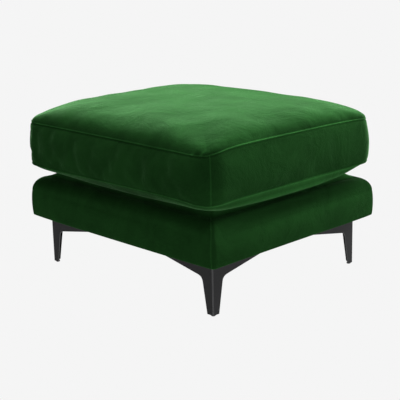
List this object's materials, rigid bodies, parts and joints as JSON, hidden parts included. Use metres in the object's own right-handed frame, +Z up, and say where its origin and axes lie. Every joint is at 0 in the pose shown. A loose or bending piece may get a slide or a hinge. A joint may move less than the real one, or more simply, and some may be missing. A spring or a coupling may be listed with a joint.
{
  "type": "footstool",
  "caption": "Rectangular footstool with a crowned boxed cushion on a padded base and bent metal corner legs.",
  "frame": {"origin": "on the floor, under the middle of the padded base", "axes": "+Z up, +X along the footstool's length, +Y along its depth; the corner at +X -Y faces the picture's camera"},
  "size_m": [0.7272, 0.6422, 0.464],
  "materials": {
    "cushion_velvet": "short-pile velvet",
    "base_velvet": "short-pile velvet",
    "black_metal": "satin powder coat",
    "black_plastic": "moulded"
  },
  "bodies": {
    "root": {"seat_cushion": "cushion_velvet", "padded_base": "base_velvet", "leg_front": "black_metal", "leg_right": "black_metal", "leg_back": "black_metal", "leg_left": "black_metal", "glide_front": "black_plastic", "glide_right": "black_plastic", "glide_back": "black_plastic", "glide_left": "black_plastic"}
  },
  "joints": []
}
